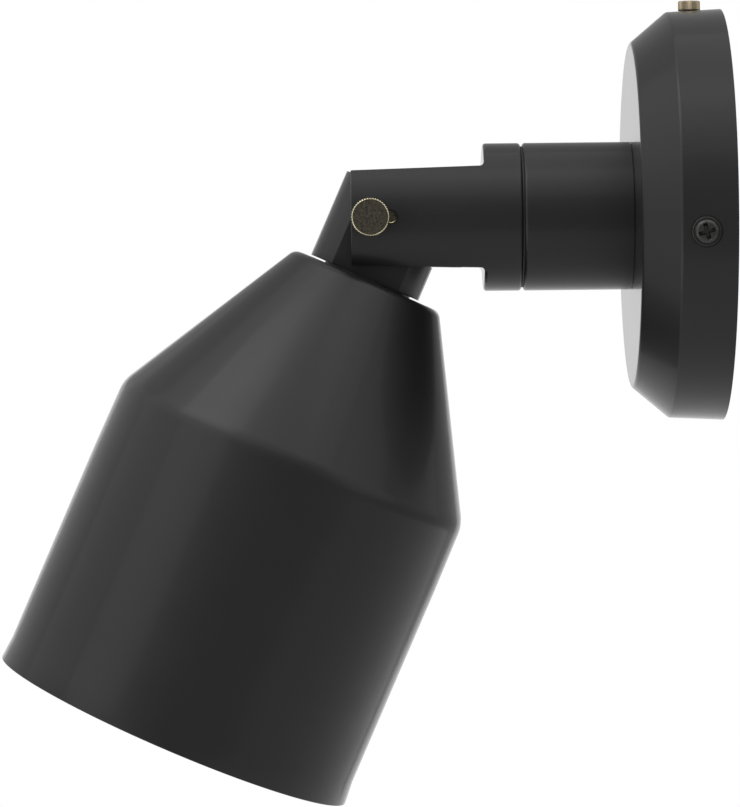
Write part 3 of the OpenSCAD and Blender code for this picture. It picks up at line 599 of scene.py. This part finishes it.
# Leads and wire connectors
# Stranded leads in PVC, black for the line, white for the neutral and green for the ground, with
# two ribbed twist-on connectors for the house wires, which open downwards.
cap_ribs = 16
cap_rib_depth = 0.4
cap_lean = 0.13  # mm that the cap narrows in each mm of height
line_cap_at = (18, -9.1, 38.91)
neutral_cap_at = (1.25, -11.3, -19)
black_pvc = finish(
    "black_pvc", (0.012, 0.012, 0.012), (0.022, 0.022, 0.022), (0.38, 0.5), patch=300,
)
white_pvc = finish("white_pvc", (0.68, 0.67, 0.62), (0.78, 0.77, 0.73), (0.38, 0.5), patch=300)
green_pvc = finish("green_pvc", (0.03, 0.17, 0.045), (0.045, 0.24, 0.065), (0.38, 0.5), patch=300)
orange_cap = finish("orange_cap", (0.68, 0.17, 0.02), (0.82, 0.24, 0.035), (0.28, 0.42), patch=250)
dress(black_pvc, "line_lead", "switch_lead")
dress(white_pvc, "neutral_lead")
dress(green_pvc, "ground_lead")

line_cap = turned("line_connector", [
    (0, 4, 0), (1.27, 4, 0), (1.6, 3, 0), (4.9, 0.5, 0.3), (5.4, 0, 0.2), (6.5, 0, 0.3),
    (6.5, 2.4, 0.5), (6.1, 2.9, 0), *[(6.1 - cap_lean * k, 2.9 + k, 0) for k in range(1, 16)],
    (4.0, 18.9, 0), (3.7, 20, 0.8), (0, 20, 0),
], 96)
for vertex in line_cap.data.vertices:
    radius, angle, z = polar(vertex.co)
    if radius > 3.5 and 3.5 < z < 18.5:
        draw_in(vertex, cap_rib_depth * (0.5 - 0.5 * cos(cap_ribs * angle)))
neutral_cap = twin(line_cap, "neutral_connector")
for connector, at in ((line_cap, line_cap_at), (neutral_cap, neutral_cap_at)):
    place(connector, at, (180, 0, 0))
    done(connector, orange_cap, "wall_base", "wire_connectors")

# Swivel
# The fork's threaded tail is held in the arm's web by a plain washer, a split spring washer and
# a nut, and it turns on a black nylon ring, the dark line between the arm and the collar.
tail_radius = 8.0
black_nylon = finish(
    "black_nylon", (0.006, 0.006, 0.006), (0.01, 0.01, 0.01), (0.5, 0.6), patch=200,
)
slip_ring = turned("slip_ring", [
    (17.5, 0, 0), (21.8, 0, 0), (21.8, 0.4, 0), (17.5, 0.4, 0),
], 128, ring=True)
done(on_arm(slip_ring, "swivel_washer"), black_nylon, "swivel", "swivel_washer")
dress(nylon, "lead_sleeve")
dress(zinc, "swivel_rear_washer")
split_washer = turned("split_washer", [
    (tail_radius, 0, 0.15), (10.75, 0, 0.15), (10.75, 1.3, 0.15), (tail_radius, 1.3, 0.15),
], 96, ring=True, arc=2)
split = block((5, 0.8, 6), (9.5, 0, 0.6), (35, 0, 0))
cut(split_washer, split)
done(on_arm(split_washer, "swivel_spring_washer"), steel,
     "swivel", "swivel_spring_washer")
swivel_nut = hex_nut("swivel_hex_nut", flats=22, bore=tail_radius, height=4.5)
done(on_arm(swivel_nut, "swivel_nut"), zinc, "swivel", "swivel_nut")

# Fork
# Turned collar with two ears, milled flat above and below and slotted for the knuckle, in the
# canopy's black. Two leads run side by side through it and the head, so their finish is black on
# one side of the middle and white on the other.
dress(black_coat, "swivel_fork")
lead_pair = finish("lead_pair", (0.5, 0.5, 0.5), (0.5, 0.5, 0.5), (0.38, 0.5), patch=300)
pair = lead_pair.node_tree
side_of = pair.nodes.new("ShaderNodeSeparateXYZ")
pair.links.new(pair.nodes["Texture Coordinate"].outputs["Object"], side_of.inputs[0])
white_side = pair.nodes.new("ShaderNodeMath")
white_side.operation = "GREATER_THAN"
white_side.inputs[1].default_value = 0.0
pair.links.new(side_of.outputs["X"], white_side.inputs[0])
pair_tone = pair.nodes["Mix"]
pair_tone.inputs["A"].default_value = (0.015, 0.015, 0.015, 1)
pair_tone.inputs["B"].default_value = (0.74, 0.73, 0.68, 1)
pair.links.new(white_side.outputs[0], pair_tone.inputs["Factor"])
dress(lead_pair, "fork_leads", "head_leads")

# Pivot pin
# Brass pin that the knuckle tilts on. Its near end lies just below the ear's surface and is dark
# and dished, with a painted highlight as a bright arc on its edge, low on the wall's side.
head_tilt = next(joint for joint in frame["joints"] if joint["name"] == "head_tilt")
pivot_y = head_tilt["pos_m"][1] / mm
pin_x = low_of("pivot_pin").x
along_pin = (0, 90, 0)  # turns a piece's axis from +Z to the pin's, which points along +X
pin = turned("tilt_pin", [
    (0, 0, 0), (1.75, 0, 0), (2.0, 0.25, 0), (2.0, 41.8, 0), (1.85, 42.1, 0), (1.75, 42.1, 0),
    (1.5, 41.95, 0), (1.4, 41.75, 0), (0, 41.64, 0),
], 64)
dark_brass = finish(
    "dark_brass", (0.0, 0.0, 0.0), (0.165, 0.152, 0.115), (0.34, 0.5), patch=1300, metal=1.0,
    relief=(2600.0, 0.00002),
)
# painted highlight: only an arc of the end's rim keeps the pale brass, the rest is dark
two_tone(pin, pale_brass, dark_brass, lambda radius, angle, z: not (
    z > 41 and 1.45 < radius < 1.8 and -0.3 < angle < 1.0))
done(place(pin, (pin_x, pivot_y, 0), along_pin), pale_brass, "swivel", "pivot_pin")

# Lock screw
# Brass thumb screw beside the pin. Its knurled rim is bright from fingers, and its flat face has
# gone dark and olive.
lock_x = low_of("lock_screw").x
lock_y = middle_of("lock_screw").y
lock = turned("thumb_screw", [
    (0, 0, 0), (1.5, 0, 0), (1.8, 0.3, 0), (1.8, 2.3, 0), *rings(2.4, 2.7, 9.7, gap=0.13),
    (2.4, 9.9, 0), (5.5, 9.9, 0), (5.9, 10.3, 0), (5.9, 12.4, 0), (5.9, 14.5, 0),
    (5.8, 14.72, 0), (5.6, 14.86, 0), (5.5, 14.9, 0), (5.42, 14.86, 0), (2.5, 14.84, 0),
    (0, 14.84, 0),
], 176)
thread(lock, pitch=0.8, depth=0.35, low=2.6, high=9.4, within=(2.2, 2.6))
knurl(lock, teeth=44, depth=0.22, outside=5.75)
two_tone(lock, pale_brass, dark_brass, lambda radius, angle, z: z > 14.8 and radius < 5.45)
done(place(lock, (lock_x, lock_y, 0), along_pin), pale_brass,
     "locking_screw", "lock_screw", smooth=25)

# Knuckle
# Round aluminium block with flat cheeks between the ears, coated black, with a steel washer on
# each cheek. The black spacer under it shows as a fine slit above the shade.
head_turn = 180 - head_tilt["range_deg"][1]  # the tilt ends where the head hangs straight down
head_back = 1  # mm from the pin's axis to the head's, towards the wall
knuckle_width = 28.6
dress(black_coat, "shade_washer")
knuckle = turned("knuckle_block", [
    (0, -8.1, 0), (18.1, -8.1, 0), (18.1, 20.0, 0), (0, 20.0, 0),
], 192)
between_cheeks = block((knuckle_width, 50, 40), (0, 0, 6))
cut(knuckle, between_cheeks, "INTERSECT")
edge_round(knuckle, 0.5, angle=30, segments=4)
lead_window = block((10, 30, 20), (0, -9, -1))
cut(knuckle, lead_window)
stud_hole = turned("stud_hole", [(0, 8, 0), (5, 8, 0), (5, 21, 0), (0, 21, 0)], 64)
cut(knuckle, place(stud_hole, (0, -head_back, 0)))
pin_hole = turned("pin_hole", [(0, -16, 0), (2.05, -16, 0), (2.05, 16, 0), (0, 16, 0)], 48)
cut(knuckle, place(pin_hole, turn=along_pin))
done(place(knuckle, (0, pivot_y, 0), (head_turn, 0, 0)), black_coat,
     "head", "knuckle", smooth=25)
dress(steel, "pivot_washers")

# Shade
# Spun aluminium: a flat top, a cone, a rounded shoulder and a drum that flares a little. It is
# satin black outside and satin white inside, and its cut edge is rounded.
head_axis = dict(
    at=(0, pivot_y - head_back * cos(radians(head_turn)), -head_back * sin(radians(head_turn))),
    turn=(head_turn, 0, 0),
)
shade_wall = 1.2
shade_white = finish(
    "shade_white", (0.72, 0.71, 0.68), (0.78, 0.77, 0.74), (0.45, 0.55), patch=40,
    relief=(700.0, 0.000006),
)
shade = turned("spun_shade", [
    (5.2, 20.55, 0), (24.3, 20.55, 3.6), (57, 78.55, 12), *rings(57.3, 100, 165, gap=16),
    (57.9, 172.25, 0),
], 256, arc=14)
mouth_face = max(shade.data.polygons, key=lambda face: face.center.z)
if mouth_face.normal.xy.dot(mouth_face.center.xy) < 0:
    shade.data.flip_normals()
shade.data.materials.append(black_coat)
shade.data.materials.append(shade_white)
wall = shade.modifiers.new("wall", "SOLIDIFY")
wall.thickness = shade_wall * mm
wall.offset = -1
wall.use_even_offset = True
wall.material_offset = 1
pick(shade)
bpy.ops.object.modifier_apply(modifier=wall.name)
edge_round(shade, 0.3, angle=70, segments=3)
done(place(shade, **head_axis), black_coat, "head", "shade")

# Shade clamp
# A threaded rod from the knuckle holds the shade between the spacer and a plate, with a toothed
# washer and a brass nut, and carries the lampholder below.
shade_washer_z = 22.95
shade_nut_z = 23.75
dress(zinc, "shade_plate")
stud = turned("head_rod", [
    (3.5, 9.2, 0), (3.7, 9.0, 0), (4.7, 9.0, 0), *rings(rod_radius, 9.3, 35.2, gap=0.17),
    (4.7, 35.45, 0), (3.5, 35.45, 0),
], 48, ring=True)
thread(stud, low=9.1, high=35.4, **rod_thread)
done(place(stud, **head_axis), zinc, "head", "head_nipple")
shade_washer = toothed_washer("shade_toothed_washer", bore=rod_radius, radius=8.0, thickness=0.8)
place(shade_washer, (0, 0, shade_washer_z))
done(place(shade_washer, **head_axis), zinc, "head", "shade_lock_washer")
shade_nut = hex_nut("shade_hex_nut", flats=14, bore=rod_radius, height=3.5)
place(shade_nut, (0, 0, shade_nut_z))
done(place(shade_nut, **head_axis), pale_brass, "head", "shade_nut")

# Lampholder
# A ribbed phenolic cap on the rod, a steatite body screwed into it, and a rolled brass screw
# shell with a spring contact. The leads end under two slotted brass screws.
terminal_x = 9
terminal_turn = 25
bulb_thread = dict(pitch=3.63, depth=0.8)
steatite = finish(
    "steatite", (0.7, 0.68, 0.61), (0.8, 0.78, 0.71), (0.16, 0.28), patch=80, Coat_Weight=0.6,
    Coat_Roughness=0.08,
)
holder_cap = turned("ribbed_cap", [
    (rod_radius, 27.75, 0), (9, 27.75, 0.6), (9, 32.75, 1.5), (19, 42.75, 1.2),
    *rings(19, 43.4, 45.3, gap=0.6), (18.8, 45.75, 0), (16.4, 45.75, 0), (16.4, 42.75, 0),
    (9, 35.45, 0), (rod_radius, 35.45, 0),
], 240, ring=True)
knurl(holder_cap, teeth=60, depth=0.35, outside=18.0)
done(place(holder_cap, **head_axis), phenolic, "head", "holder_cap")
holder_body = turned("steatite_body", [
    (0, 45.75, 0), (18, 45.75, 0.6), (18, 49.5, 0.3), (17.6, 50, 0.2), (17.6, 51.5, 0.2),
    (18, 52, 0.3), (18, 87.75, 1.4), (13.4, 87.75, 0.8), (13.4, 81.75, 0), (13.9, 81.75, 0),
    (13.9, 51.75, 0), (0, 51.75, 0),
], 128, arc=4)
for terminal in (-terminal_x, terminal_x):
    bore = turned("terminal_bore", [(0, 40, 0), (1.5, 40, 0), (1.5, 50.3, 0), (0, 50.3, 0)], 32)
    cut(holder_body, place(bore, (terminal, 0, 0)))
done(place(holder_body, **head_axis), steatite, "head", "holder_body")


def screw_shell(name, radius, sheet, low, high, thread_from, thread_to, foot=None):
    """A rolled sheet shell with the round thread that bulbs use. It is open at both ends, or has
    a foot that reaches in to a radius."""
    outside = rings(radius, low, high, gap=0.3)
    inside = rings(radius - sheet, high, low + (sheet if foot else 0), gap=0.3)
    floor_end = [(foot, low + sheet, 0), (foot, low, 0)] if foot else []
    shell = turned(name, outside + inside + floor_end, 96, ring=True)
    thread(shell, low=thread_from, high=thread_to, within=(radius - 2, radius + 1), **bulb_thread)
    return shell


holder_shell = screw_shell("holder_screw_shell", radius=13.9, sheet=0.5, low=51.75, high=81.75,
                           thread_from=53, thread_to=81.5)
done(place(holder_shell, **head_axis), pale_brass, "head", "holder_shell")
dress(pale_brass, "holder_contact")
terminal_screw = turned("terminal_screw_near", [
    (0, 50.25, 0), (1.5, 50.25, 0), (1.5, 45.75, 0), (3.0, 45.75, 0.1), (3.0, 43.35, 0.5),
    (0, 43.3, 0),
], 48)
slot = block((8, 0.8, 1.6), (0, 0, 43.35))
cut(terminal_screw, slot)
far_terminal_screw = twin(terminal_screw, "terminal_screw_far")
for screw, terminal in ((terminal_screw, terminal_x), (far_terminal_screw, -terminal_x)):
    place(screw, (terminal, 0, 0), (0, 0, terminal_turn))
    done(place(screw, **head_axis), pale_brass, "head", "terminal_screws")

# Bulb
# A 60 mm bulb: glass frosted inside and glossy outside, cemented into a rolled nickel plated
# screw base with a black glass insulator and a soldered tip.
neck_radius = 12.4
neck_z = 82.85
bulb_radius = 30
bulb_z = 133.25  # where it is widest
swell_steps = 14
frosted = finish(
    "frosted_glass", (0.8, 0.79, 0.76), (0.85, 0.84, 0.81), (0.4, 0.5), patch=60, Coat_Weight=1.0,
    Coat_Roughness=0.04,
)
nickel = finish(
    "nickel", (0.5, 0.48, 0.44), (0.64, 0.62, 0.58), (0.2, 0.34), patch=500, metal=1.0,
)
swell = [
    (neck_radius + (bulb_radius - neck_radius) * (1 - cos(pi * k / swell_steps)) / 2,
     neck_z + (bulb_z - neck_z) * k / swell_steps, 0)
    for k in range(1, swell_steps + 1)
]
crown = [
    (bulb_radius * cos(radians(up)), bulb_z + bulb_radius * sin(radians(up)), 0)
    for up in range(5, 90, 5)
]
glass = turned("bulb_envelope", [
    (0, 74.2, 0), (9.5, 73.95, 0), (11.7, 75.2, 0), (11.7, 80.6, 0), (neck_radius, 81.6, 0),
    (neck_radius, neck_z, 0), *swell, *crown, (0, bulb_z + bulb_radius, 0),
], 128)
done(place(glass, **head_axis), frosted, "head", "bulb_glass", smooth=60)
base = screw_shell("bulb_screw_base", radius=13.2, sheet=0.4, low=59.85, high=neck_z,
                   thread_from=61.5, thread_to=80.5, foot=8.5)
done(place(base, **head_axis), nickel, "head", "bulb_shell")
insulator = turned("bulb_black_glass", [
    (0, 56.65, 0), (4.7, 56.65, 0), (6.4, 57.6, 1.5), (8.5, 59.6, 0.2), (8.5, 60.25, 0),
    (0, 60.25, 0),
], 64)
done(place(insulator, **head_axis), phenolic, "head", "bulb_insulator")
tip = turned("bulb_solder_tip", [
    (0, 55.25, 0), (2.2, 55.35, 0.8), (4.3, 56.1, 0.8), (4.7, 56.65, 0), (0, 56.65, 0),
], 48)
done(place(tip, **head_axis), nickel, "head", "bulb_contact")

bpy.context.view_layer.update()
